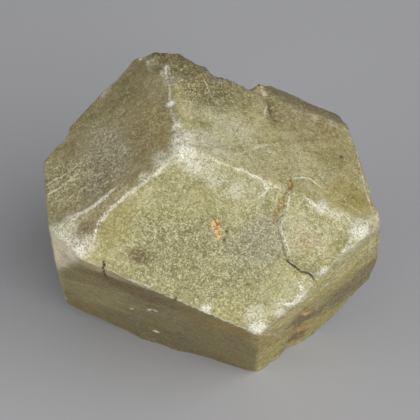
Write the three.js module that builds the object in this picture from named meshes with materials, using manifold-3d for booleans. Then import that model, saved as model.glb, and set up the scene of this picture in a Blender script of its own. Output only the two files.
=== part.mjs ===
import Module from "manifold-3d";
import { BoxGeometry, BufferAttribute, BufferGeometry, Euler, Group, Matrix4, Mesh } from "three";
import { MeshStandardMaterial, Vector3 } from "three";
import { mergeVertices } from "three/addons/utils/BufferGeometryUtils.js";

// A garnet crystal: a distorted rhombic dodecahedron, one solid stone. Millimetres, Z up, front face toward -Y.

// How the crystal's own cubic axes stand in the object's frame, degrees.
const LEAN_BACK = -23.4;
const ROLL = -8;
const SPIN = -129.5;

// Each growth face: its direction on the cubic axes, and its distance from the crystal's centre.
// The small second figures are the slight tilt that natural faces have from the ideal ones.
const GROWTH_FACES = [
  { name: "front", index: [1, 1, 0], reach: 9.5 },
  { name: "back", index: [-1, -1, 0], reach: 12.5 },
  { name: "upper left", index: [0.89, 0.08, 1], reach: 11.4 },
  { name: "upper right", index: [0.02, 0.92, 1], reach: 9.85 },
  { name: "lower left", index: [0.98, 0, -1], reach: 8.2 },
  { name: "lower right", index: [0.04, 0.95, -1], reach: 10.1 },
  { name: "upper back left", index: [0.1, -1, 0.85], reach: 9.55 },
  { name: "upper back right", index: [-0.93, -0.03, 1], reach: 8.95 },
  { name: "lower back left", index: [0.12, -1, -0.8], reach: 17 },
  { name: "lower back right", index: [-1, 0.32, -0.62], reach: 16.2 },
  { name: "left side", index: [1, -0.99, 0.09], reach: 11.35 },
  { name: "right side", index: [-1, 0.99, 0.15], reach: 10.8 },
];

// Narrow faces that bevel three edges, each wide at one end and running out toward the other.
const BEVEL_FACES = [
  { name: "upper left bevel", index: [1, 0.41, 0.54], reach: 12 },
  { name: "lower right bevel", index: [0.1, 1, -0.82], reach: 10.4 },
  { name: "upper back bevel", index: [-0.37, 0.49, 1], reach: 10 },
];

// Corners broken off the crystal.
const BROKEN_CORNERS = [
  { name: "left corner", index: [1, -0.27, -0.44], reach: 11.15 },
  { name: "right corner", index: [0.08, 1, -0.14], reach: 13.2 },
  { name: "top corner", index: [0.13, 0.3, 1], reach: 12.05 },
];

// The level face where the crystal broke from its matrix, and on which it rests: its depth below the centre.
const BASE_DEPTH = 16;

// Growth layers that are missing from part of a face. Each ends in a step: along is the direction from the step
// into the bare part, on the cubic axes, and start is the step's place in that direction.
const MISSING_LAYERS = [
  { face: "upper back right", along: [0.42, -1, 0.36], start: -2, depth: 1.6 },
  { face: "upper back left", along: [1, -0.05, -0.75], start: 4.5, depth: 0.35 },
];
const STEP_SLANT = 20;

const LARGER_THAN_CRYSTAL = 80;
const OLIVE = 0x8f8a68;
const STONE_ROUGHNESS = 0.6;

const cubicAxes = new Matrix4().makeRotationFromEuler(
  new Euler(radians(LEAN_BACK), radians(ROLL), radians(SPIN), "XYZ"),
);

function radians(degrees) {
  return (degrees * Math.PI) / 180;
}

// A direction on the cubic axes, as a unit vector in the object's frame.
function direction(index) {
  return new Vector3(...index).normalize().applyMatrix4(cubicAxes);
}

function toSolid(wasm, geometry) {
  const bare = new BufferGeometry();
  bare.setAttribute("position", geometry.getAttribute("position"));
  bare.setIndex(geometry.getIndex());
  const merged = mergeVertices(bare);
  const mesh = new wasm.Mesh({
    numProp: 3,
    vertProperties: Float32Array.from(merged.getAttribute("position").array),
    triVerts: Uint32Array.from(merged.getIndex().array),
  });
  return new wasm.Manifold(mesh);
}

function toGeometry(solid) {
  const mesh = solid.getMesh();
  const geometry = new BufferGeometry();
  geometry.setAttribute("position", new BufferAttribute(Float32Array.from(mesh.vertProperties), 3));
  geometry.setIndex(new BufferAttribute(Uint32Array.from(mesh.triVerts), 1));
  return geometry;
}

// Keeps the side of a plane that holds the crystal's centre.
function cutBack(solid, outward, reach) {
  return solid.trimByPlane(outward.clone().negate().toArray(), -reach);
}

// A slab over one face, from depth below it upward, that ends in a slanted step.
function layerOver(block, layer) {
  const face = GROWTH_FACES.find((each) => each.name === layer.face);
  const outward = direction(face.index);
  const along = direction(layer.along);
  along.addScaledVector(outward, -along.dot(outward)).normalize();
  const stepWall = along.clone().multiplyScalar(Math.cos(radians(STEP_SLANT)));
  stepWall.addScaledVector(outward, Math.sin(radians(STEP_SLANT)));
  const floor = face.reach - layer.depth;
  const wall = stepWall.dot(along.clone().multiplyScalar(layer.start).addScaledVector(outward, face.reach));
  return block.trimByPlane(outward.toArray(), floor).trimByPlane(stepWall.toArray(), wall);
}

function crystalGeometry(wasm) {
  const block = toSolid(wasm, new BoxGeometry(LARGER_THAN_CRYSTAL, LARGER_THAN_CRYSTAL, LARGER_THAN_CRYSTAL));
  let crystal = block;
  for (const face of [...GROWTH_FACES, ...BEVEL_FACES, ...BROKEN_CORNERS]) {
    crystal = cutBack(crystal, direction(face.index), face.reach);
  }
  crystal = cutBack(crystal, new Vector3(0, 0, -1), BASE_DEPTH);
  for (const layer of MISSING_LAYERS) {
    crystal = crystal.subtract(layerOver(block, layer));
  }
  return toGeometry(crystal);
}

// Puts the origin at the middle of the base of the bounding box.
function standOnOrigin(geometry) {
  geometry.computeBoundingBox();
  const centre = geometry.boundingBox.getCenter(new Vector3());
  geometry.translate(-centre.x, -centre.y, -geometry.boundingBox.min.z);
}

function stone() {
  return new MeshStandardMaterial({
    name: "stone",
    color: OLIVE,
    roughness: STONE_ROUGHNESS,
    metalness: 0,
    flatShading: true,
  });
}

function garnetCrystal(wasm) {
  const geometry = crystalGeometry(wasm);
  standOnOrigin(geometry);
  const mesh = new Mesh(geometry, stone());
  mesh.name = "garnet_crystal";
  return mesh;
}

const wasm = await Module();
wasm.setup();
const part = new Group();
part.name = "garnet_crystal_part";
part.add(garnetCrystal(wasm));

export default part;
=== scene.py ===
import math

import bmesh
import bpy
import numpy as np
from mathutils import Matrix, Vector


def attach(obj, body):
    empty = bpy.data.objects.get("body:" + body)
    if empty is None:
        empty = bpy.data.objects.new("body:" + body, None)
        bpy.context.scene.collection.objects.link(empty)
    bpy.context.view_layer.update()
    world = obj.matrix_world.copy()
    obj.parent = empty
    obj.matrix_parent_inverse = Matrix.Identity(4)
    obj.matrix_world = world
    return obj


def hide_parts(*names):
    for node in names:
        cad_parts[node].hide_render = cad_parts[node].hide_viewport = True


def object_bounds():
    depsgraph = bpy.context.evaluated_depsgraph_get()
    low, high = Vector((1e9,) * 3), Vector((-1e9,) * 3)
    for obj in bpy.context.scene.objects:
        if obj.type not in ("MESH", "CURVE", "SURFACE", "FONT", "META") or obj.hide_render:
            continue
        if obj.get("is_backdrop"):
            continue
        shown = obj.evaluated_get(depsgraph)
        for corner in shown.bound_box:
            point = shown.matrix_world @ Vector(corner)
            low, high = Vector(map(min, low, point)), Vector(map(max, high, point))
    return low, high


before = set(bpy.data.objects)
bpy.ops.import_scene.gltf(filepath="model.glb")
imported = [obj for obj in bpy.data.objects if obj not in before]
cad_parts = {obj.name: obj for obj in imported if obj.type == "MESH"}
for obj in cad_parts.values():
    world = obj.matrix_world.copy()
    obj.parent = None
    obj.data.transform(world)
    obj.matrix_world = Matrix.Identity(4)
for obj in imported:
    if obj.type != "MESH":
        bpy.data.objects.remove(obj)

# The shape is worked out in millimetres, in the frame of the CAD model, and written back in metres.
MM = 1000.0
CAD_LOW, CAD_HIGH = (Vector(corner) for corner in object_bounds())
CAD_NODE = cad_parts["garnet_crystal"]
HEIGHT = CAD_HIGH.z - CAD_LOW.z

# Camera: the photograph's angle on the crystal, from close by with a long lens.
VIEW_ELEVATION = math.radians(44)
VIEW_DISTANCE = 0.1083
VIEW_LENS = 128.57
AIM = Vector((-0.0003, -0.0007, 0.57 * HEIGHT))

# Mesh of the visual model.
MESH_PITCH = 0.00015
PROJECTION_STEPS = 4
LONGEST_STEP = 0.3

# How sharp the rounded edges are, per millimetre: the mean, the spread, and for sharing out faces.
EDGE_SHARPNESS = 10
EDGE_SHARPNESS_SPREAD = 5
FACE_SHARPNESS = 12.0

# How deep each kind of relief goes, in millimetres.
WAVE_RELIEF = 0.04
GRAIN_RELIEF = 0.05
FINE_GRAIN_RELIEF = 0.035
DUST_RELIEF = 0.02
STRIATION_RELIEF = 0.06
TERRACE_RELIEF = 0.07
BEDDING_RELIEF = 0.12
LUMP_RELIEF = 0.09
LOST_SKIN_RELIEF = 0.1
BROKEN_RELIEF = 0.05

# Faces of the crystal, each told by the direction it looks toward.
LOOKS = {
    "front": (0.1, -0.91, 0.4),
    "upper_left": (-0.48, -0.25, 0.85),
    "upper_right": (0.4, -0.1, 0.91),
    "lower_left": (-0.34, -0.8, -0.5),
    "lower_right": (0.61, -0.67, -0.42),
    "left_bevel": (-0.32, -0.63, 0.7),
    "right_bevel": (0.63, -0.72, -0.3),
    "back_bevel": (0.4, 0.34, 0.85),
    "left_chip": (-0.69, -0.69, -0.24),
    "right_chip": (0.72, -0.65, 0.24),
    "top_chip": (0.0, 0.11, 0.99),
    "base": (0.0, 0.0, -1.0),
}

SEED = 20
RANDOM = np.random.default_rng(SEED)
LATTICE_SIZE = 64
LATTICE = RANDOM.uniform(-1, 1, (LATTICE_SIZE,) * 3)
LATTICE_JITTER = RANDOM.random((LATTICE_SIZE, LATTICE_SIZE, LATTICE_SIZE, 3))


# ---------------------------------------------------------------- noise

def lattice_values(table, cells):
    wrapped = cells % LATTICE_SIZE
    return table[wrapped[:, 0], wrapped[:, 1], wrapped[:, 2]]


def noise(points, size, shift=0.0):
    """Smooth noise from -1 to 1 whose lumps are about size across."""
    where = points / size + shift
    cells = np.floor(where).astype(np.int64)
    part = where - cells
    part = part * part * (3 - 2 * part)
    total = np.zeros(len(points))
    for corner in np.ndindex(2, 2, 2):
        step = np.array(corner)
        weight = np.prod(np.where(step, part, 1 - part), axis=1)
        total += weight * lattice_values(LATTICE, cells + step)
    return total


def cloudy(points, size, octaves=4, shift=0.0):
    total = np.zeros(len(points))
    for octave in range(octaves):
        total += noise(points, size / 2**octave, shift + 7.3 * octave) / 2**octave
    return total / 1.6


def streaks(places, width, length, shift=0.0):
    """Noise drawn out along the first of two coordinates."""
    flat = np.column_stack([places[:, 0] / length, places[:, 1] / width, np.zeros(len(places))])
    return cloudy(flat, 1.0, 3, shift)


def grains(points, size, shift=0.0):
    """Distance to the nearest of a scatter of points about size apart, in units of size."""
    where = points / size + shift
    cells = np.floor(where).astype(np.int64)
    nearest = np.full(len(points), 9.0)
    for corner in np.ndindex(3, 3, 3):
        cell = cells + np.array(corner) - 1
        gap = np.linalg.norm(cell + lattice_values(LATTICE_JITTER, cell) - where, axis=1)
        nearest = np.minimum(nearest, gap)
    return nearest


def smooth_step(low, high, value):
    part = np.clip((value - low) / (high - low), 0, 1)
    return part * part * (3 - 2 * part)


# ---------------------------------------------------------------- the crystal's planes and edges

def crystal_mesh():
    """The CAD node with each flat face in one piece, in millimetres."""
    flat = bmesh.new()
    flat.from_mesh(CAD_NODE.data)
    bmesh.ops.scale(flat, vec=(MM, MM, MM), verts=flat.verts)
    bmesh.ops.remove_doubles(flat, verts=flat.verts, dist=0.001)
    bmesh.ops.dissolve_limit(flat, angle_limit=math.radians(1), verts=flat.verts, edges=flat.edges)
    return flat


def sort_planes(flat):
    """Normals and distances of the outer planes, and of the inner planes that bound the missing layers."""
    corners = np.array([vertex.co[:] for vertex in flat.verts])
    outer, inner = [], []
    for face in flat.faces:
        normal = np.array(face.normal[:])
        distance = float(np.array([vertex.co[:] for vertex in face.verts]).dot(normal).mean())
        is_outer = (corners @ normal).max() < distance + 0.02
        same = [each for each in (outer if is_outer else inner) if each[0] @ normal > 0.9999]
        same = [each for each in same if abs(each[1] - distance) < 0.05]
        if not same:
            (outer if is_outer else inner).append((normal, distance))
    return outer, inner


def pair_layers(outer, inner):
    """Each missing layer as its floor plane and the step plane that ends it."""
    def lies_along(normal):
        return max(each[0] @ normal for each in outer) > 0.999
    floors = [each for each in inner if lies_along(each[0])]
    steps = [each for each in inner if not lies_along(each[0])]
    lean = math.sin(math.radians(20))
    return [(floor, min(steps, key=lambda step: abs(step[0] @ floor[0] - lean))) for floor in floors]


FLAT = crystal_mesh()
OUTER, INNER = sort_planes(FLAT)
LAYERS = pair_layers(OUTER, INNER)
CORNERS = np.array([vertex.co[:] for vertex in FLAT.verts])
NORMALS = np.array([normal for normal, _ in OUTER])
REACHES = np.array([distance for _, distance in OUTER])


def face_number(name):
    return int(np.argmax(NORMALS @ np.array(LOOKS[name])))


FACE = {name: face_number(name) for name in LOOKS}


def meeting_point(*names):
    rows = [FACE[name] for name in names]
    return np.linalg.solve(NORMALS[rows], REACHES[rows])


class FaceFrame:
    """Coordinates on one face: along runs on its edge with a neighbour, away runs from there inward."""

    def __init__(self, face, neighbour, origin, toward):
        self.normal = NORMALS[FACE[face]]
        self.origin = origin
        self.along = np.cross(self.normal, NORMALS[FACE[neighbour]])
        self.along /= np.linalg.norm(self.along)
        if self.along @ (toward - origin) < 0:
            self.along = -self.along
        self.away = np.cross(self.normal, self.along)
        if self.away @ NORMALS[FACE[neighbour]] > 0:
            self.away = -self.away

    def place(self, points):
        offset = points - self.origin
        return np.stack([offset @ self.along, offset @ self.away], axis=1)

    def point(self, along, away):
        return self.origin + along * self.along + away * self.away


TOP_CORNER = meeting_point("front", "upper_left", "upper_right")
LOW_CORNER = meeting_point("front", "lower_left", "lower_right")
RIGHT_END = meeting_point("front", "upper_right", "lower_right")
LEFT_END = meeting_point("front", "upper_left", "lower_left")
BEVEL_START = meeting_point("front", "left_bevel", "lower_left")
BEVEL_END = meeting_point("front", "left_bevel", "upper_right")
ON = {
    "front": FaceFrame("front", "upper_right", TOP_CORNER, RIGHT_END),
    "upper_right": FaceFrame("upper_right", "front", TOP_CORNER, RIGHT_END),
    "upper_left": FaceFrame("upper_left", "front", TOP_CORNER, LEFT_END),
    "lower_left": FaceFrame("lower_left", "front", LOW_CORNER, LEFT_END),
    "lower_right": FaceFrame("lower_right", "front", LOW_CORNER, RIGHT_END),
    "left_bevel": FaceFrame("left_bevel", "front", BEVEL_START, BEVEL_END),
}


# ---------------------------------------------------------------- marks on the faces

def inside_outline(places, corners):
    """How far each place lies inside a convex outline, in millimetres; negative is outside."""
    corners = np.array(corners)
    middle = corners.mean(axis=0)
    depth = np.full(len(places), 99.0)
    for start, end in zip(corners, np.roll(corners, -1, axis=0)):
        side = np.array([end[1] - start[1], start[0] - end[0]])
        side /= np.linalg.norm(side)
        if side @ (middle - start) < 0:
            side = -side
        depth = np.minimum(depth, (places - start) @ side)
    return depth


# The places below are in millimetres along and away on each face. Many began as points picked by eye on the
# photograph, which a scratch program projected onto the faces. Some are its numbers unchanged, and the rest
# were moved or chosen by hand.

# On the upper right face: the middle of the curved striations, and the top corner that carries less frost.
EDDY = (13.0, 7.0)
SUMMIT = (-1.5, 8.2)

# Cracks: the face, the line they follow, their half width, their depth and how dark they are.
CRACKS = [
    (
        "front", [(7.4, -0.2), (7.5, 0.7), (7.8, 1.6), (7.7, 2.4), (8.3, 3.1), (9.0, 4.0), (9.6, 4.6)],
        0.035, 0.12, 0.65,
    ),
    ("front", [(9.6, 4.6), (10.2, 4.7), (10.7, 5.0), (11.3, 4.9), (12.1, 5.1)], 0.07, 0.25, 1.0),
    ("front", [(-1.7, 9.2), (-1.6, 9.6)], 0.07, 0.2, 1.0),
    ("lower_left", [(12.0, 0.0), (11.7, 1.0), (11.2, 2.2)], 0.05, 0.2, 1.0),
    ("lower_left", [(11.2, 2.2), (10.9, 2.8)], 0.05, 0.1, 0.5),
    ("lower_left", [(6.6, 0.0), (6.4, 0.9)], 0.04, 0.1, 0.9),
    ("upper_right", [(4.9, 8.1), (5.2, 7.5), (5.4, 6.8), (5.9, 6.1)], 0.1, 0.22, 0.45),
    ("upper_right", [(7.4, 0.0), (7.6, 0.6), (7.6, 1.3)], 0.04, 0.1, 0.5),
    ("upper_right", [(-2.1, 6.9), (-1.9, 6.2)], 0.05, 0.1, 0.6),
]

# Thin pale seams and bruised edges: the face, the line, the half width and the strength.
SEAMS = [
    ("front", [(-0.4, 0.5), (-0.9, 2.1), (-1.9, 3.9), (-2.8, 5.9), (-3.1, 7.0)], 0.13, 0.75),
    ("front", [(-3.1, 7.0), (-3.0, 8.2), (-2.8, 9.2), (-3.4, 9.6)], 0.13, 0.9),
    ("left_bevel", [(0.1, 2.3), (0.4, 1.4), (0.1, 0.6), (0.3, -0.1)], 0.13, 0.8),
    ("front", [(-0.2, 0.1), (3.1, -0.1), (5.4, 0.0), (7.2, 0.1)], 0.055, 1.0),
    ("front", [(8.8, 0.0), (9.6, 0.25), (10.6, 0.25), (11.6, 0.1)], 0.14, 1.0),
    ("front", [(11.6, 0.1), (12.6, 0.4), (13.3, 0.0)], 0.07, 0.7),
    ("front", [(-1.2, 9.6), (1.9, 9.9), (4.1, 9.9), (7.0, 10.0), (9.4, 10.1)], 0.07, 0.7),
    ("front", [(10.2, 10.0), (10.9, 8.6)], 0.1, 0.7),
    ("front", [(12.3, 4.3), (12.6, 3.0), (12.6, 2.0), (12.9, 0.7)], 0.1, 0.8),
    ("front", [(5.7, 0.0), (6.05, 0.5), (6.05, 1.0), (5.7, 1.3)], 0.1, 1.0),
    ("front", [(7.65, 0.1), (7.8, 0.9), (8.05, 1.6), (7.95, 2.3)], 0.06, 0.7),
    ("front", [(7.95, 2.3), (8.5, 3.0), (9.2, 3.8), (9.9, 4.5)], 0.07, 0.85),
    ("front", [(10.9, 5.6), (11.4, 5.9), (11.6, 6.3), (11.5, 6.8), (11.1, 7.2), (10.6, 7.4)], 0.2, 1.0),
    ("front", [(9.7, 4.4), (10.6, 4.7), (12.0, 4.8)], 0.07, 0.6),
    ("front", [(9.0, 0.9), (9.6, 1.6), (10.5, 1.9)], 0.05, 0.5),
    ("front", [(9.9, 2.4), (10.9, 2.9), (11.4, 2.5)], 0.05, 0.5),
    ("front", [(11.5, 4.7), (12.2, 4.1), (12.7, 3.2), (12.8, 2.4)], 0.12, 1.0),
    ("upper_right", [(-0.1, 0.3), (-0.8, 1.9), (-1.5, 3.8), (-2.0, 5.3), (-2.5, 6.9)], 0.06, 0.8),
    ("upper_right", [(2.6, 0.4), (3.6, 1.4), (5.2, 3.0), (6.8, 4.4), (7.8, 4.8)], 0.06, 0.55),
    ("upper_right", [(4.4, 8.9), (4.9, 7.9), (5.1, 7.0), (5.0, 6.0)], 0.07, 0.7),
    ("upper_right", [(7.7, 1.3), (8.3, 1.7), (8.8, 1.9), (9.4, 1.7)], 0.07, 1.0),
    ("upper_right", [(9.4, 1.7), (10.3, 1.2), (11.2, 0.4)], 0.04, 0.6),
    ("upper_right", [(6.2, 3.2), (7.6, 3.9), (8.6, 3.6)], 0.05, 0.4),
    ("upper_right", [(8.8, 3.1), (10.4, 1.9), (11.9, 0.9), (12.9, 0.3)], 0.045, 0.5),
    ("upper_right", [(9.3, 3.9), (10.6, 3.0), (12.2, 1.4)], 0.04, 0.35),
    ("upper_right", [(0.1, 6.4), (1.0, 5.5), (2.1, 5.0)], 0.045, 0.5),
    ("upper_left", [(10.5, 1.7), (9.4, 1.5), (8.2, 1.3), (7.1, 1.1), (5.4, 1.1)], 0.15, 0.8),
    ("upper_left", [(9.6, 5.2), (8.1, 5.0), (6.6, 4.9)], 0.06, 0.8),
    ("upper_left", [(9.9, 4.5), (8.6, 4.3), (7.2, 4.2)], 0.05, 0.7),
    ("upper_left", [(10.1, 3.7), (9.0, 3.4), (7.9, 3.3)], 0.05, 0.6),
    ("upper_left", [(9.4, 6.2), (8.6, 6.0), (7.8, 6.0)], 0.05, 0.5),
    ("upper_left", [(5.0, 1.6), (6.2, 2.2), (7.2, 2.3)], 0.05, 0.4),
    ("lower_left", [(13.5, 4.0), (12.6, 2.2), (11.8, 1.1), (10.2, 0.6), (8.4, 0.3)], 0.1, 0.35),
    ("lower_left", [(12.7, 10.0), (11.6, 9.3), (10.7, 8.5)], 0.07, 0.8),
    ("lower_left", [(8.6, 10.4), (6.4, 8.8), (4.1, 6.6), (2.0, 5.6)], 0.1, 0.3),
    ("lower_left", [(9.4, 14.0), (7.4, 13.4), (5.0, 12.0)], 0.1, 0.25),
    ("lower_right", [(4.5, 1.0), (8.5, 1.3)], 0.1, 0.9),
    ("lower_right", [(6.0, 2.1), (9.0, 2.3), (11.5, 2.2)], 0.12, 0.9),
    ("lower_right", [(1.6, 2.4), (3.5, 2.6), (5.5, 3.1)], 0.12, 0.9),
    ("upper_right", [(13.5, 1.2), (12.7, 4.2), (11.9, 7.4)], 0.06, 0.8),
    ("lower_right", [(0.0, 0.6), (-0.1, 5.0), (-0.5, 9.0)], 0.08, 0.5),
    ("lower_right", [(0.6, 1.2), (5.0, 2.8), (9.0, 3.2), (12.5, 2.6)], 0.09, 0.45),
    ("lower_right", [(2.0, 3.8), (6.0, 5.4), (9.5, 5.3)], 0.09, 0.4),
    ("lower_right", [(7.0, 1.2), (10.0, 1.3), (12.8, 0.8)], 0.06, 0.5),
    ("lower_right", [(-0.6, 4.2), (1.4, 6.0), (3.4, 6.6)], 0.1, 0.35),
]

# The thin layer on the right of the front face, which stands proud of the rest.
PLATE = [(7.5, -1.0), (13.6, -1.0), (13.3, 2.5), (12.4, 4.7), (9.4, 4.4), (8.2, 3.0), (7.6, 1.4)]
PLATE_RISE = 0.2

# Shell-shaped chips: the face, the centre, the radius across and the depth.
CHIPS = [
    ("front", (11.1, 6.5), 0.8, 0.14), ("front", (9.9, 9.3), 1.1, 0.07),
    ("front", (10.9, 8.0), 0.9, 0.07), ("front", (11.9, 5.3), 0.6, 0.08),
    ("front", (10.0, 0.1), 0.7, 0.14), ("front", (6.2, 0.5), 0.5, 0.08),
    ("front", (11.3, 0.2), 0.6, 0.12), ("front", (-3.6, 9.3), 0.9, 0.2),
    ("front", (-2.9, 8.3), 0.6, 0.12), ("front", (0.2, 0.3), 0.9, 0.08),
    ("front", (13.2, 0.6), 0.7, 0.15), ("front", (4.2, 4.3), 0.45, 0.12),
    ("upper_right", (8.8, 1.2), 0.6, 0.08), ("upper_right", (11.0, 5.1), 0.2, 0.1),
    ("upper_right", (7.3, 8.1), 0.9, 0.12), ("upper_right", (-2.1, 7.0), 0.6, 0.05),
    ("upper_left", (10.3, 1.2), 0.7, 0.15), ("upper_left", (2.7, 9.0), 0.8, 0.2),
    ("lower_right", (1.4, 8.2), 0.9, 0.25), ("lower_right", (0.0, 10.2), 0.8, 0.25),
    ("lower_right", (3.0, 6.6), 0.7, 0.15), ("lower_left", (12.2, 1.2), 1.2, 0.12),
    ("lower_left", (2.2, 19.0), 1.4, 0.2), ("lower_right", (-2.0, 17.8), 1.4, 0.5),
    ("lower_right", (4.4, 18.6), 1.0, 0.3),
]
CHIP_RAGGEDNESS = 0.03

# Small scars where flakes have sprung off the edges, in millimetres.
FLAKE_SPACING = 0.8
FLAKE_RADII = (0.5, 1.6)
FLAKE_LEAST_BITE = 0.02
FLAKE_MOST_BITE = 0.13
FLAKE_MOST_BITE_BEHIND = 0.3
FLAKE_SCATTER = 0.1

# A worn corner at the top left: the way it faces and how much is gone.
WORN_CORNER = np.array([-0.35, 0.65, 0.67])
WORN_CORNER_DEPTH = 0.47
WORN_CORNER_RAGGEDNESS = 0.1

# The relief is cut inward and the surface then raised by this, so that it averages near the flat faces.
WEAR_LEVEL = 0.12

# Low swells that stand proud of the flat faces: the face, the centre, the radius and the height.
SWELLS = [
    ("upper_right", (-0.9, 8.1), 4.4, 1.3), ("upper_right", (5.4, 9.0), 1.5, 0.15),
    ("front", (13.3, 0.5), 3.5, 0.25), ("front", (11.7, 6.6), 3.0, 0.35),
    ("lower_left", (1.0, 21.0), 3.4, 0.5), ("lower_right", (1.5, 19.5), 4.0, 0.25),
]

# Swells of the ground that the missing layers left bare.
LAYER_SWELLS = [("upper_right", (-1.2, 8.5), 2.4, 0.45), ("upper_right", (4.1, 9.1), 1.4, 0.55)]


def chip_spheres():
    """The sphere that hollows out each chip: its centre and radius."""
    spheres = []
    for face, middle, across, depth in CHIPS:
        radius = (across**2 + depth**2) / (2 * depth)
        spheres.append((ON[face].point(*middle) + ON[face].normal * (radius - depth), radius))
    return spheres


def sharp_edges():
    """The edges where two faces meet at an angle: their ends and the mean of the two normals."""
    edges = []
    for edge in FLAT.edges:
        ends = np.array([vertex.co[:] for vertex in edge.verts])
        normals = np.array([face.normal[:] for face in edge.link_faces])
        if len(normals) == 2 and normals[0] @ normals[1] < 0.98:
            edges.append((ends, normals.sum(axis=0) / np.linalg.norm(normals.sum(axis=0))))
    return edges


def edge_flakes():
    """The spheres that hollow out small scars along the edges, where flakes have sprung off."""
    spheres = []
    for ends, outward in sharp_edges():
        length = np.linalg.norm(ends[1] - ends[0])
        most = FLAKE_MOST_BITE_BEHIND if outward[1] > 0.2 else FLAKE_MOST_BITE
        for _ in range(int(length / FLAKE_SPACING)):
            radius = RANDOM.uniform(*FLAKE_RADII)
            bite = RANDOM.uniform(FLAKE_LEAST_BITE, most)
            middle = ends[0] + RANDOM.random() * (ends[1] - ends[0])
            spheres.append((middle + outward * (radius - bite) + RANDOM.normal(0, FLAKE_SCATTER, 3), radius))
    return spheres


# ---------------------------------------------------------------- the crystal's surface

def plane_gaps(points):
    return points @ NORMALS.T - REACHES


def soft_faces(points, sharpness):
    """A rounded maximum of the plane distances, and how much each face counts at each point."""
    gaps = plane_gaps(points)
    top = gaps.max(axis=1)
    weights = np.exp(sharpness[:, None] * (gaps - top[:, None]))
    total = weights.sum(axis=1)
    return top + np.log(total) / sharpness, weights / total[:, None]


def swell_rise(points, swells):
    """How far the given swells stand proud at each point, in millimetres."""
    total = np.zeros(len(points))
    for face, centre, radius, rise in swells:
        total += rise * smooth_step(1, 0, np.linalg.norm(points - ON[face].point(*centre), axis=1) / radius)
    return total


def crystal_height(points):
    """How far each point stands outside the smooth crystal with its missing layers, and the way out."""
    sharpness = EDGE_SHARPNESS + EDGE_SHARPNESS_SPREAD * cloudy(points, 2.5, 2, shift=11.0)
    height, weights = soft_faces(points, sharpness)
    outward = weights @ NORMALS
    height -= swell_rise(points, SWELLS)
    for (floor_normal, floor), (step_normal, step) in LAYERS:
        over_floor = points @ floor_normal - floor
        over_step = points @ step_normal - step
        cut = np.minimum(over_floor, over_step)
        taken = cut > height
        outward[taken] = np.where((over_floor < over_step)[taken][:, None], floor_normal, step_normal)
        height = np.maximum(height, cut)
    height -= swell_rise(points, LAYER_SWELLS)
    worn = points @ WORN_CORNER - (CORNERS @ WORN_CORNER).max() + WORN_CORNER_DEPTH
    height = np.maximum(height, worn + WORN_CORNER_RAGGEDNESS * cloudy(points, 1.0, 2))
    outward /= np.linalg.norm(outward, axis=1)[:, None]
    return height, outward


def chip_depth(points):
    """How deep each point of the surface must go to lie in the chips, in millimetres."""
    depth = np.zeros(len(points))
    wobble = CHIP_RAGGEDNESS * cloudy(points, 0.8, 2, shift=3.9)
    for centre, radius in chip_spheres() + edge_flakes():
        depth = np.maximum(depth, radius - np.linalg.norm(points - centre, axis=1) + wobble)
    return depth


def crystal_relief(points, weights):
    """Material worn or grown short of the flat faces, in millimetres."""
    on_front = weights[:, FACE["front"]]
    on_upper_right = weights[:, FACE["upper_right"]]
    on_upper_left = weights[:, FACE["upper_left"]]
    on_lower_right = weights[:, FACE["lower_right"]] + weights[:, FACE["right_bevel"]]
    on_lower_left = weights[:, FACE["lower_left"]]
    on_chip = sum(weights[:, FACE[name]] for name in ("left_chip", "right_chip", "top_chip"))
    on_base = weights[:, FACE["base"]]
    relief = WAVE_RELIEF * (1 + cloudy(points, 7.0))

    sugar = np.clip(0.5 + 0.7 * cloudy(points, 3.0, shift=3.3), 0, 1)
    relief += GRAIN_RELIEF * sugar * grains(points, 0.55) * (1 - 0.6 * on_lower_left)
    relief += FINE_GRAIN_RELIEF * grains(points, 0.32, 5.1)
    relief += DUST_RELIEF * (1 + noise(points, 0.35, 9.7))

    front = ON["front"].place(points)
    raggedness = 0.25 * cloudy(points, 1.2, shift=1.9)
    proud = smooth_step(-0.12, 0.12, inside_outline(front, PLATE) + raggedness)
    relief += PLATE_RISE * on_front * (1 - proud)

    upper_right = ON["upper_right"].place(points)
    from_eddy = upper_right - np.array(EDDY)
    round_eddy = np.arctan2(from_eddy[:, 0], -from_eddy[:, 1]) * 6.0
    swirl = np.column_stack([round_eddy, np.linalg.norm(from_eddy, axis=1)])
    near_right_end = smooth_step(7.0, 10.0, upper_right[:, 0])
    relief += STRIATION_RELIEF * on_upper_right * near_right_end * (1 + streaks(swirl, 0.35, 6.0, 4.1))
    terrace = upper_right[:, 1] - 0.62 * upper_right[:, 0] + 0.8 * cloudy(points, 3.0, shift=6.6)
    relief += TERRACE_RELIEF * on_upper_right * smooth_step(-0.1, 0.1, terrace - 0.2)

    upper_left = ON["upper_left"].place(points)
    near_left_end = smooth_step(5.5, 8.0, upper_left[:, 0])
    relief += STRIATION_RELIEF * on_upper_left * near_left_end * (1 + streaks(upper_left, 0.3, 4.0, 8.8))

    beds = ON["lower_right"].place(points)
    relief += BEDDING_RELIEF * on_lower_right * (1 + streaks(beds, 0.7, 7.0, 2.2))
    relief += LUMP_RELIEF * (on_lower_right + on_lower_left) * (1 + cloudy(points, 1.8, shift=7.7))
    behind = np.clip(weights @ (NORMALS[:, 1] > 0.1), 0, 1)
    lost_skin = smooth_step(0.0, 0.05, cloudy(points, 6.0, shift=1.5))
    lost_skin += smooth_step(0.25, 0.3, cloudy(points, 4.0, shift=8.1))
    relief += LOST_SKIN_RELIEF * behind * lost_skin
    relief += BROKEN_RELIEF * on_chip * (1 + cloudy(points, 1.0, shift=5.5))
    for face, line, width, depth, _ in CRACKS:
        gap, _ = line_gap(places_on(face, points), line)
        relief += depth * nearness(face, points) * smooth_step(2.0 * width + 0.08, 0, np.abs(gap))
    return relief * (1 - on_base)


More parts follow.
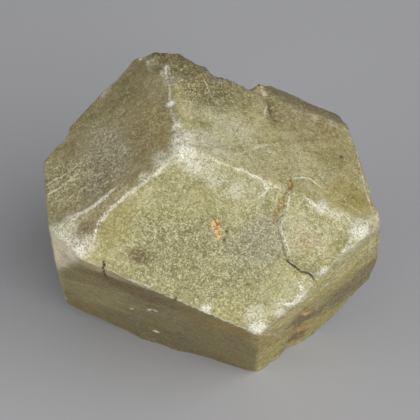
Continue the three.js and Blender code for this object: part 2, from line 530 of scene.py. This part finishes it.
def remeshed_copy():
    """An even, fine mesh of the CAD node."""
    source = bpy.data.objects.new("remesh_source", CAD_NODE.data.copy())
    bpy.context.collection.objects.link(source)
    welder = bmesh.new()
    welder.from_mesh(source.data)
    bmesh.ops.remove_doubles(welder, verts=welder.verts, dist=1e-6)
    welder.to_mesh(source.data)
    welder.free()
    remesh = source.modifiers.new("even", "REMESH")
    remesh.mode = "VOXEL"
    remesh.voxel_size = MESH_PITCH
    evaluated = source.evaluated_get(bpy.context.evaluated_depsgraph_get())
    mesh = bpy.data.meshes.new_from_object(evaluated)
    bpy.data.objects.remove(source)
    return mesh


def read_points(mesh):
    flat = np.empty(len(mesh.vertices) * 3)
    mesh.vertices.foreach_get("co", flat)
    return flat.reshape(-1, 3) * MM


def worn_crystal():
    """The visual model: the remeshed crystal, rounded and layered, then worn and painted."""
    mesh = remeshed_copy()
    points = read_points(mesh)
    for _ in range(PROJECTION_STEPS):
        height, outward = crystal_height(points)
        points = points - np.clip(height, -LONGEST_STEP, LONGEST_STEP)[:, None] * outward
    _, weights = soft_faces(points, np.full(len(points), FACE_SHARPNESS))
    chipped = chip_depth(points)
    inward = np.maximum(crystal_relief(points, weights), chipped) - WEAR_LEVEL
    points = points - inward[:, None] * outward
    points[:, 2] = np.maximum(points[:, 2], 0)
    mesh.vertices.foreach_set("co", (points / MM).ravel())
    mesh.update()
    mesh.materials.clear()
    paint(mesh, points, chipped)
    mesh.polygons.foreach_set("use_smooth", np.ones(len(mesh.polygons), dtype=bool))
    crystal = bpy.data.objects.new("crystal_surface", mesh)
    bpy.context.collection.objects.link(crystal)
    return crystal


# ---------------------------------------------------------------- colour laid on the mesh

def linear_colour(red, green, blue):
    """An sRGB colour from 0 to 255 as a linear colour."""
    level = np.array([red, green, blue]) / 255
    return np.where(level <= 0.04045, level / 12.92, ((level + 0.055) / 1.055) ** 2.4)


# The colours were set one by one and corrected toward the photograph's mean colours over its regions.

# Each face's colour and how granular it looks, from 0 to 1.
FACE_COLOURS = {
    "front": ((169, 165, 112), 0.8),
    "upper_right": ((190, 182, 134), 0.7),
    "upper_left": ((140, 129, 92), 0.3),
    "lower_left": ((128, 112, 50), 0.25),
    "lower_right": ((182, 162, 76), 0.9),
    "left_bevel": ((160, 151, 115), 0.6),
    "right_bevel": ((198, 188, 130), 1.0),
    "back_bevel": ((137, 125, 82), 0.6),
    # The left chip's near-white colour is partly painted light: it is raised above the chip's own colour to
    # make up for the little light that reaches that face.
    "left_chip": ((255, 236, 208), 1.0),
    "right_chip": ((204, 199, 162), 0.9),
    "top_chip": ((136, 125, 80), 0.6),
}
OTHER_FACES = ((160, 150, 108), 0.5)

# Patches of another colour: the face, centre, two radii, colour, strength and granularity.
PATCHES = [
    ("front", (2.6, 6.8), (4.2, 2.6), (147, 143, 96), 0.95, 1.0),
    ("front", (5.6, 8.0), (3.0, 1.6), (154, 150, 102), 0.8, 1.0),
    ("front", (3.0, 5.4), (1.6, 1.2), (140, 136, 92), 0.7, 1.0),
    ("front", (7.4, 4.0), (2.2, 2.2), (150, 150, 128), 0.9, 0.9),
    ("front", (-2.2, 6.6), (1.2, 2.6), (162, 152, 86), 0.85, 0.45),
    ("front", (-0.7, 4.0), (1.4, 1.0), (184, 178, 128), 0.7, 0.6),
    ("front", (2.6, 2.4), (1.0, 0.8), (168, 162, 102), 0.7, 0.6),
    ("front", (1.2, 0.9), (1.8, 0.9), (196, 195, 158), 0.8, 0.8),
    ("front", (4.6, 1.2), (1.6, 1.0), (190, 188, 152), 0.7, 0.8),
    ("front", (10.2, 2.2), (2.2, 2.0), (196, 189, 148), 0.8, 0.9),
    ("front", (8.4, 9.0), (2.4, 1.2), (174, 168, 104), 0.7, 1.0),
    ("front", (10.4, 5.8), (1.2, 1.0), (178, 174, 118), 0.6, 0.6),
    ("front", (0.2, 8.0), (0.8, 0.5), (106, 82, 40), 0.95, 0.5),
    ("front", (-1.4, 9.0), (1.6, 0.8), (178, 169, 114), 0.6, 0.6),
    ("front", (7.4, 1.3), (0.22, 1.1), (138, 108, 56), 0.85, 0.6),
    ("front", (10.2, 2.6), (0.9, 0.8), (186, 164, 120), 0.6, 0.8),
    ("front", (12.0, 2.2), (0.5, 0.9), (156, 148, 88), 0.7, 0.5),
    ("upper_right", (7.5, 0.5), (0.25, 0.8), (140, 110, 58), 0.85, 0.6),
    ("upper_right", (2.8, 2.8), (2.8, 2.4), (208, 205, 170), 0.85, 0.9),
    ("upper_right", (6.4, 2.6), (2.2, 1.4), (188, 180, 134), 0.7, 0.8),
    ("upper_right", (0.2, 7.0), (3.8, 2.4), (106, 94, 46), 0.95, 0.7),
    ("upper_right", (7.6, 7.0), (4.0, 1.8), (152, 137, 92), 0.9, 0.6),
    ("upper_right", (9.0, 5.4), (2.4, 1.8), (168, 154, 108), 0.7, 0.6),
    ("upper_right", (11.0, 5.0), (1.8, 2.6), (166, 153, 98), 0.75, 0.5),
    ("upper_right", (11.6, 1.6), (2.4, 1.6), (180, 166, 92), 0.9, 0.5),
    ("upper_right", (-0.3, 6.5), (0.5, 0.4), (128, 114, 42), 0.9, 0.5),
    ("upper_right", (0.7, 2.8), (0.7, 0.5), (150, 140, 70), 0.8, 0.6),
    ("upper_right", (5.6, 6.6), (0.5, 1.2), (122, 110, 72), 0.7, 0.7),
    ("upper_left", (4.7, 3.8), (2.4, 2.6), (148, 140, 120), 0.9, 0.9),
    ("upper_left", (2.0, 3.0), (1.4, 2.6), (140, 124, 84), 0.85, 0.45),
    ("upper_left", (0.6, 3.2), (0.8, 3.0), (146, 131, 82), 0.9, 0.5),
    ("upper_left", (6.4, 2.7), (1.7, 1.0), (124, 112, 94), 0.8, 0.8),
    ("upper_left", (8.8, 4.4), (2.2, 2.6), (154, 143, 103), 0.85, 1.0),
    ("upper_left", (0.8, 7.6), (2.4, 1.8), (126, 114, 77), 0.9, 0.2),
    # This thin dark band along the far rim of the upper left face is painted shade, where the face turns away
    # at the outline.
    ("upper_left", (3.2, 9.4), (3.6, 0.5), (96, 88, 56), 0.8, 0.3),
    ("lower_left", (9.0, 3.0), (4.8, 1.6), (112, 85, 22), 0.9, 0.15),
    ("lower_left", (11.8, 0.8), (2.2, 0.8), (186, 168, 120), 0.8, 0.2),
    ("lower_left", (9.6, 11.0), (3.0, 5.0), (154, 140, 82), 0.85, 0.15),
    ("lower_left", (4.6, 9.0), (2.0, 4.0), (134, 121, 68), 0.8, 0.15),
    ("lower_left", (2.4, 16.0), (4.4, 3.6), (112, 101, 56), 0.85, 0.3),
    ("lower_left", (1.4, 2.6), (3.2, 2.2), (146, 117, 32), 0.85, 0.2),
    ("lower_left", (6.9, 10.3), (0.14, 0.4), (250, 248, 234), 1.0, 0.0),
    ("lower_left", (6.2, 7.8), (0.12, 0.35), (244, 240, 224), 1.0, 0.0),
    ("lower_left", (5.9, 7.2), (0.16, 0.3), (240, 236, 218), 1.0, 0.0),
    ("lower_left", (3.2, 16.0), (0.24, 0.6), (250, 248, 234), 1.0, 0.0),
    ("lower_right", (5.0, 2.4), (6.0, 2.2), (206, 188, 106), 0.8, 0.9),
    ("lower_right", (-0.8, 5.0), (1.2, 5.0), (168, 142, 58), 0.8, 0.7),
    # This patch darkens the lower part of the lower right face toward the base, partly as painted shadow.
    ("lower_right", (6.4, 12.6), (4.6, 5.4), (122, 106, 60), 0.95, 0.5),
    ("lower_right", (2.4, 6.0), (0.8, 2.2), (166, 122, 44), 0.9, 0.5),
    ("lower_right", (1.6, 8.8), (1.1, 2.8), (110, 74, 20), 0.95, 0.5),
    ("lower_right", (0.5, 12.0), (1.1, 2.6), (166, 126, 46), 0.9, 0.5),
    ("lower_right", (-0.6, 15.0), (1.0, 2.6), (116, 82, 26), 0.95, 0.5),
    ("lower_right", (-2.2, 16.6), (0.8, 1.8), (138, 108, 56), 0.8, 0.8),
    ("lower_right", (3.4, 7.2), (0.7, 2.4), (176, 160, 100), 0.6, 0.7),
    ("left_bevel", (1.9, 0.8), (1.5, 0.6), (126, 104, 72), 1.0, 0.4),
    ("left_bevel", (5.0, 0.9), (1.8, 0.6), (146, 130, 92), 0.8, 0.4),
]

# Frosted, bruised places: the face, the centre, the radius and the strength. The upper right spots at (-4.2,
# 7.8), (-2.6, 7.9) and (-1.0, 8.4) and the upper left spot at (-0.7, 9.0) lie on the top outline and are
# painted glints.
FROST_AND_GLINTS = [
    ("front", (0.0, 0.1), 0.9, 1.0), ("front", (1.0, 0.5), 0.9, 0.5), ("front", (-3.6, 9.2), 0.6, 0.9),
    ("front", (13.0, 0.7), 0.8, 1.0), ("front", (13.3, 2.0), 0.6, 0.8), ("front", (9.8, 9.7), 0.7, 1.0),
    ("front", (9.2, 9.0), 0.9, 0.5), ("front", (10.8, 8.2), 0.5, 0.8), ("front", (12.2, 4.2), 0.45, 0.9),
    ("front", (11.5, 6.6), 0.45, 0.8), ("front", (2.8, 1.2), 0.7, 0.3), ("front", (10.0, 0.2), 0.5, 0.8),
    ("front", (4.2, 1.3), 0.6, 0.3), ("front", (5.9, 9.7), 0.35, 0.9),
    ("upper_right", (-1.5, 3.8), 0.26, 1.0), ("upper_right", (-0.8, 1.9), 0.3, 0.8),
    ("left_bevel", (0.4, 1.5), 0.9, 0.5), ("upper_right", (-0.3, 0.9), 0.8, 0.85),
    ("upper_right", (-2.4, 6.6), 0.2, 0.7), ("upper_right", (1.2, 1.0), 1.6, 0.35),
    ("upper_right", (-2.6, 7.9), 0.2, 1.0), ("upper_right", (-1.0, 8.4), 0.2, 0.8),
    ("upper_right", (4.9, 8.2), 0.2, 0.5), ("upper_right", (-4.2, 7.8), 0.3, 1.0),
    ("upper_left", (10.4, 1.4), 0.9, 0.5), ("upper_left", (9.2, 1.3), 0.8, 0.4),
    ("upper_left", (7.5, 8.4), 0.4, 0.5), ("upper_left", (0.4, 0.6), 0.7, 0.7),
    ("upper_left", (-0.7, 9.0), 0.3, 0.8), ("left_bevel", (8.6, 0.5), 0.8, 0.5),
    ("left_bevel", (0.5, 0.6), 0.8, 0.6), ("front", (-3.2, 8.4), 0.7, 0.45),
]

# The frost that the crystal's edges carry by themselves.
EDGE_FROST = 0.45

# Rusty specks: the face, the centre and the two radii.
RUSTY = [
    ("front", (4.0, 4.0), (0.34, 0.3)), ("front", (4.3, 4.4), (0.26, 0.24)),
    ("front", (4.6, 4.7), (0.2, 0.18)), ("front", (7.5, 0.9), (0.07, 0.5)),
    ("front", (7.3, 1.7), (0.06, 0.35)), ("upper_right", (7.5, 0.6), (0.08, 0.4)),
    ("lower_right", (2.3, 7.4), (0.25, 1.2)), ("lower_right", (0.4, 12.6), (0.3, 1.4)),
]

# Dark pits: the face, the centre and the two radii.
PITS = [
    ("upper_right", (11.0, 5.1), (0.15, 0.15)), ("front", (4.9, 4.2), (0.14, 0.14)),
    ("front", (5.0, 4.8), (0.14, 0.14)),
]


def nearness(face, points):
    """1 for points on the face, down to 0 for points well under its plane."""
    number = FACE[face]
    return smooth_step(0.9, 0.35, REACHES[number] - points @ NORMALS[number])


def places_on(face, points):
    return ON[face].place(points) + 0.1 * np.stack([noise(points, 0.5), noise(points, 0.5, 4.4)], axis=1)


def line_gap(places, corners):
    """Signed distance of each place from a line through the corners, and how far along the line it lies."""
    best = np.full(len(places), 99.0)
    progress = np.zeros(len(places))
    pieces = len(corners) - 1
    for number in range(pieces):
        start, end = np.array(corners[number]), np.array(corners[number + 1])
        run = end - start
        part = np.clip((places - start) @ run / (run @ run), 0, 1)
        offset = places - start - part[:, None] * run
        gap = np.linalg.norm(offset, axis=1) * np.where(offset @ np.array([run[1], -run[0]]) < 0, -1, 1)
        closer = np.abs(gap) < np.abs(best)
        best = np.where(closer, gap, best)
        progress = np.where(closer, (number + part) / pieces, progress)
    return best, progress


def oval(places, centre, radii, ragged):
    """A soft oval spot: 1 at its centre, 0 beyond its ragged rim."""
    gap = np.linalg.norm((places - np.array(centre)) / np.array(radii), axis=1)
    return smooth_step(1.35, 0.45, gap + ragged)


def line_marks(points, lines):
    """For thin lines: the signed distance from the nearest one, its half width and its strength there."""
    side = np.full(len(points), 1.0)
    width = np.full(len(points), 0.05)
    strength = np.zeros(len(points))
    for face, line, half_width, power in lines:
        gap, progress = line_gap(places_on(face, points), line)
        near = nearness(face, points)
        closer = (np.abs(gap) < np.abs(side)) & (near > 0.3) & (np.abs(gap) < 0.8)
        taper = smooth_step(0, 0.12, progress) * smooth_step(1, 0.88, progress) * 0.6 + 0.4
        here_and_there = 0.5 + 0.5 * smooth_step(-0.35, 0.2, cloudy(points, 0.9, 2, shift=15.0))
        side = np.where(closer, gap, side)
        width = np.where(closer, half_width * taper, width)
        power_here = power * near * here_and_there * smooth_step(0.8, 0.45, np.abs(gap))
        strength = np.where(closer, power_here, strength)
    return side, width, strength


def spots(points, entries, place, ragged):
    """The strongest of a list of soft ovals at each point. An entry is a face, a centre and the two radii."""
    most = np.zeros(len(points))
    for face, centre, radii in entries:
        most = np.maximum(most, oval(place(face, points), centre, radii, ragged) * nearness(face, points))
    return most


def paint(mesh, points, chipped):
    """Lay colour, granularity, frost with a few painted glints, rust, pits and the thin lines on the mesh as
    point attributes.
    """
    _, weights = soft_faces(points, np.full(len(points), FACE_SHARPNESS))
    palette = np.tile(linear_colour(*OTHER_FACES[0]), (len(NORMALS), 1))
    coarse = np.full(len(NORMALS), OTHER_FACES[1])
    for name, (tone, granularity) in FACE_COLOURS.items():
        palette[FACE[name]] = linear_colour(*tone)
        coarse[FACE[name]] = granularity
    tint = weights @ palette
    sugar = weights @ coarse
    ragged = 0.45 * cloudy(points, 1.6, shift=12.0)
    for face, centre, radii, tone, strength, granularity in PATCHES:
        share = strength * oval(ON[face].place(points), centre, radii, ragged) * nearness(face, points)
        tint += share[:, None] * (linear_colour(*tone) - tint)
        sugar += share * (granularity - sugar)

    gaps = np.sort(plane_gaps(points), axis=1)
    to_edge = gaps[:, -1] - gaps[:, -2]
    patchy = cloudy(points, 1.4, shift=13.0)
    lower = weights[:, FACE["lower_left"]] + weights[:, FACE["lower_right"]] + weights[:, FACE["right_bevel"]]
    lower += weights[:, FACE["base"]] + weights[:, FACE["back_bevel"]]
    lower = np.clip(lower, 0, 1)
    frost_and_glints = EDGE_FROST * smooth_step(0.14, 0.0, to_edge + 0.4 * (0.5 + patchy)) * (1 - 0.7 * lower)
    fresh = smooth_step(0.02, 0.1, chipped) * (0.25 + 0.4 * patchy) * (1 - 0.85 * lower)
    from_summit = np.linalg.norm(points - ON["upper_right"].point(*SUMMIT), axis=1)
    frost_and_glints = np.maximum(frost_and_glints, fresh) * smooth_step(1.2, 3.4, from_summit)
    for name in ("left_chip", "right_chip"):
        frost_and_glints = np.maximum(frost_and_glints, (0.2 + 0.8 * patchy) * weights[:, FACE[name]])
    # Frost spots, a few of which are painted glints on the top outline.
    for face, centre, radius, strength in FROST_AND_GLINTS:
        spot = oval(ON[face].place(points), centre, (radius, radius), 0.8 * ragged)
        frost_and_glints = np.maximum(frost_and_glints, strength * spot * nearness(face, points))

    rust = spots(points, RUSTY, places_on, 0.5 * ragged)
    pits = spots(points, PITS, lambda face, where: ON[face].place(where), 0)

    dark_lines = [(face, line, half_width, dark) for face, line, half_width, _, dark in CRACKS]
    crack_side, crack_width, crack_strength = line_marks(points, dark_lines)
    seam_side, seam_width, seam_strength = line_marks(points, SEAMS)
    marks = {
        "sugar": sugar, "frost_and_glints": frost_and_glints, "rust": rust, "pits": pits,
        "crack_side": crack_side, "crack_width": crack_width, "crack_strength": crack_strength,
        "seam_side": seam_side, "seam_width": seam_width, "seam_strength": seam_strength,
    }
    for name, values in marks.items():
        attribute = mesh.attributes.new(name, "FLOAT", "POINT")
        attribute.data.foreach_set("value", np.clip(values, -1, 1).astype(np.float32))
    attribute = mesh.attributes.new("tint", "FLOAT_COLOR", "POINT")
    opaque = np.column_stack([tint, np.ones(len(tint))])
    attribute.data.foreach_set("color", opaque.astype(np.float32).ravel())


# ---------------------------------------------------------------- material

class Shader:
    """Short calls that add nodes to a material and return their outputs."""

    def __init__(self, name):
        self.material = bpy.data.materials.new(name)
        self.material.use_nodes = True
        self.tree = self.material.node_tree
        self.tree.nodes.clear()

    def node(self, kind, settings=None, **inputs):
        made = self.tree.nodes.new(kind)
        for key, value in (settings or {}).items():
            setattr(made, key, value)
        for key, value in inputs.items():
            self.feed(made.inputs[key.replace("_", " ")], value)
        return made

    def feed(self, socket, value):
        if isinstance(value, bpy.types.NodeSocket):
            self.tree.links.new(value, socket)
        else:
            socket.default_value = value

    def mask(self, name, output="Fac"):
        return self.node("ShaderNodeAttribute", {"attribute_name": name}).outputs[output]

    def math(self, operation, first, second=0.5):
        made = self.tree.nodes.new("ShaderNodeMath")
        made.operation = operation
        self.feed(made.inputs[0], first)
        self.feed(made.inputs[1], second)
        return made.outputs[0]

    def noise(self, where, scale, detail=4.0, roughness=0.55, distortion=0.0):
        made = self.node("ShaderNodeTexNoise", None, Vector=where, Scale=scale, Detail=detail)
        made.inputs["Roughness"].default_value = roughness
        made.inputs["Distortion"].default_value = distortion
        return made.outputs["Fac"]

    def ramp(self, value, low, high, to_low=0.0, to_high=1.0):
        made = self.node("ShaderNodeMapRange", {"interpolation_type": "SMOOTHSTEP"})
        for socket, item in zip(made.inputs, (value, low, high, to_low, to_high)):
            self.feed(socket, item)
        return made.outputs[0]

    def blend(self, share, under, over, mode="MIX"):
        made = self.tree.nodes.new("ShaderNodeMix")
        made.data_type = "RGBA"
        made.blend_type = mode
        self.feed(made.inputs[0], share)
        self.feed(made.inputs[6], under)
        self.feed(made.inputs[7], over)
        return made.outputs[2]

    def hairs(self, where, scale, broken):
        """Thin squiggles: the level lines of a twisted noise, broken up by another noise."""
        level = self.math("ABSOLUTE", self.math("SUBTRACT", self.noise(where, scale, 2.0, 0.5, 1.8), 0.5))
        return self.math("MULTIPLY", self.ramp(level, 0.04, 0.01), self.ramp(broken, 0.42, 0.56, 0.0, 0.8))

    def line(self, name, wander):
        """How much of a thin line shows: its half width is carried by the mesh, its rim wanders."""
        off = self.math("ABSOLUTE", self.math("ADD", self.mask(name + "_side"), wander))
        inside = self.math("DIVIDE", off, self.mask(name + "_width"))
        return self.math("MULTIPLY", self.ramp(inside, 1.3, 0.5), self.mask(name + "_strength"))


def colour(red, green, blue):
    return (*linear_colour(red, green, blue), 1.0)


PALE_GRAIN = colour(224, 219, 172)
OLIVE_CAST = (0.85, 0.85, 0.7, 1.0)
BROWN_CAST = (0.84, 0.78, 0.66, 1.0)
PALE_CAST = (1.1, 1.1, 1.13, 1.0)
DARK_GRAIN = colour(112, 103, 60)
PALE_HAIR = colour(244, 240, 198)
DARK_HAIR = colour(88, 76, 38)
FROST_AND_GLINT_WHITE = colour(250, 251, 236)
# White of the painted glints: specks painted into the colour in place of specular highlights.
PAINTED_GLINT_WHITE = colour(250, 250, 238)
RUST = colour(240, 204, 128)
RUST_DARK = colour(150, 102, 50)
CRACK_BROWN = colour(62, 46, 24)

# How fine the material's noises are, as lumps in a millimetre.
PATCH_LUMPS = 0.6
MOTTLE_LUMPS = 1.6
SQUIGGLE_LUMPS = 4.4
CRUMB_LUMPS = 8.5
PAINTED_GLINT_LUMPS = 9.0
DARK_HAIR_LUMPS = 2.9
PALE_HAIR_LUMPS = 3.7

BUMP_STRENGTH = 0.8
BUMP_DEPTH = 0.00016
GARNET_IOR = 1.6


def garnet_material():
    shader = Shader("garnet")
    here = shader.node("ShaderNodeTexCoord").outputs["Object"]
    scaled = shader.node("ShaderNodeVectorMath", {"operation": "SCALE"}, Vector=here, Scale=MM)
    where = scaled.outputs["Vector"]

    patches = shader.noise(where, PATCH_LUMPS, 5.0, 0.6)
    mottle = shader.noise(where, MOTTLE_LUMPS, 4.0, 0.65)
    squiggle = shader.noise(where, SQUIGGLE_LUMPS, 3.0, 0.65, 1.4)
    crumb = shader.noise(where, CRUMB_LUMPS, 2.0, 0.6, 0.8)
    grain = shader.math("ADD", shader.math("MULTIPLY", squiggle, 0.55), shader.math("MULTIPLY", crumb, 0.45))
    sugar = shader.mask("sugar")

    body = shader.mask("tint", "Color")
    body = shader.blend(shader.ramp(patches, 0.49, 0.6), body, OLIVE_CAST, "MULTIPLY")
    body = shader.blend(shader.ramp(patches, 0.5, 0.38), body, PALE_CAST, "MULTIPLY")
    body = shader.blend(shader.ramp(mottle, 0.46, 0.34), body, BROWN_CAST, "MULTIPLY")
    body = shader.blend(shader.ramp(mottle, 0.52, 0.64), body, PALE_CAST, "MULTIPLY")
    dark = shader.math("MULTIPLY", shader.ramp(grain, 0.5, 0.4, 0.0, 0.7), sugar)
    body = shader.blend(dark, body, DARK_GRAIN)
    pale = shader.math("MULTIPLY", shader.ramp(grain, 0.5, 0.61, 0.0, 0.75), sugar)
    body = shader.blend(pale, body, PALE_GRAIN)
    dark_hairs = shader.math("MULTIPLY", shader.hairs(where, DARK_HAIR_LUMPS, crumb), sugar)
    body = shader.blend(dark_hairs, body, DARK_HAIR)
    pale_hairs = shader.math("MULTIPLY", shader.hairs(where, PALE_HAIR_LUMPS, squiggle), sugar)
    body = shader.blend(pale_hairs, body, PALE_HAIR)

    powder = shader.math("ADD", shader.math("MULTIPLY", grain, 0.5), shader.math("MULTIPLY", crumb, 0.5))
    broken = shader.ramp(powder, 0.42, 0.54, 0.2, 1.0)
    # The frost mask also carries a few painted glints on the top outline; frost, seams and these glints turn
    # the colour white.
    frost_and_glints = shader.math("MULTIPLY", shader.mask("frost_and_glints"), broken)
    wander = shader.ramp(crumb, 0.3, 0.7, -0.06, 0.06)
    seams = shader.math("MULTIPLY", shader.line("seam", wander), broken)
    body = shader.blend(shader.math("MAXIMUM", frost_and_glints, seams), body, FROST_AND_GLINT_WHITE)
    # Painted glints: sparse white specks painted into the colour in place of specular highlights.
    painted_glints = shader.ramp(shader.noise(where, PAINTED_GLINT_LUMPS, 1.0, 0.5, 2.0), 0.71, 0.75)
    body = shader.blend(painted_glints, body, PAINTED_GLINT_WHITE)
    rusty = shader.blend(shader.ramp(grain, 0.45, 0.52), RUST_DARK, RUST)
    body = shader.blend(shader.mask("rust"), body, rusty)
    openings = shader.math("MAXIMUM", shader.mask("pits"), shader.line("crack", wander))
    body = shader.blend(openings, body, CRACK_BROWN)

    height = shader.math("ADD", grain, shader.math("MULTIPLY", mottle, 0.9))
    bump = shader.node("ShaderNodeBump", None, Strength=BUMP_STRENGTH, Distance=BUMP_DEPTH, Height=height)
    roughness = shader.ramp(grain, 0.35, 0.65, 0.62, 0.4)

    surface = shader.node("ShaderNodeBsdfPrincipled", None, Base_Color=body, Roughness=roughness)
    surface.inputs["IOR"].default_value = GARNET_IOR
    shader.tree.links.new(bump.outputs[0], surface.inputs["Normal"])
    output = shader.node("ShaderNodeOutputMaterial")
    shader.tree.links.new(surface.outputs[0], output.inputs["Surface"])
    return shader.material


# ---------------------------------------------------------------- stage

FLOOR_SIZE = 1.2
WORLD_TINT = (1.0, 0.98, 0.95, 1.0)
WORLD_STRENGTH = 0.19


def stage_floor():
    bpy.ops.mesh.primitive_plane_add(size=FLOOR_SIZE, location=(0, 0, 0))
    floor = bpy.context.object
    floor.name = "floor"
    shader = Shader("floor")
    where = shader.node("ShaderNodeTexCoord").outputs["Object"]
    tone = shader.blend(shader.noise(where, 30.0, 2.0), colour(176, 178, 184), colour(182, 184, 190))
    surface = shader.node("ShaderNodeBsdfPrincipled", None, Base_Color=tone, Roughness=0.8)
    output = shader.node("ShaderNodeOutputMaterial")
    shader.tree.links.new(surface.outputs[0], output.inputs["Surface"])
    floor.data.materials.append(shader.material)
    floor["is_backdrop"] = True


def area_light(name, toward, distance, size, power, tint):
    """A soft square lamp that looks at the middle of the crystal from the given direction."""
    lamp = bpy.data.lights.new(name, "AREA")
    lamp.size = size
    lamp.energy = power
    lamp.color = tint
    holder = bpy.data.objects.new(name, lamp)
    bpy.context.collection.objects.link(holder)
    way = Vector(toward).normalized()
    holder.location = AIM + way * distance
    holder.rotation_euler = way.to_track_quat("Z", "Y").to_euler()


def light_scene():
    area_light("key", (0.45, -0.57, 0.63), distance=0.5, size=0.42, power=2.15, tint=(1.0, 0.98, 0.95))
    area_light("fill", (-0.8, -0.55, 0.3), distance=0.6, size=0.5, power=1.55, tint=(1.0, 0.99, 0.96))
    world = bpy.data.worlds.new("studio")
    world.use_nodes = True
    world.node_tree.nodes["Background"].inputs[0].default_value = WORLD_TINT
    world.node_tree.nodes["Background"].inputs[1].default_value = WORLD_STRENGTH
    bpy.context.scene.world = world
    bpy.context.scene.view_settings.view_transform = "Standard"


def add_camera():
    camera = bpy.data.objects.new("camera", bpy.data.cameras.new("camera"))
    bpy.context.collection.objects.link(camera)
    camera.data.lens = VIEW_LENS
    camera.data.clip_start = 0.005
    way = Vector((0, -math.cos(VIEW_ELEVATION), math.sin(VIEW_ELEVATION)))
    camera.location = AIM + way * VIEW_DISTANCE
    camera.rotation_euler = way.to_track_quat("Z", "Y").to_euler()
    bpy.context.scene.camera = camera


add_camera()
light_scene()
stage_floor()
crystal = worn_crystal()
crystal.data.materials.append(garnet_material())
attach(crystal, "root")
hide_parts("garnet_crystal")
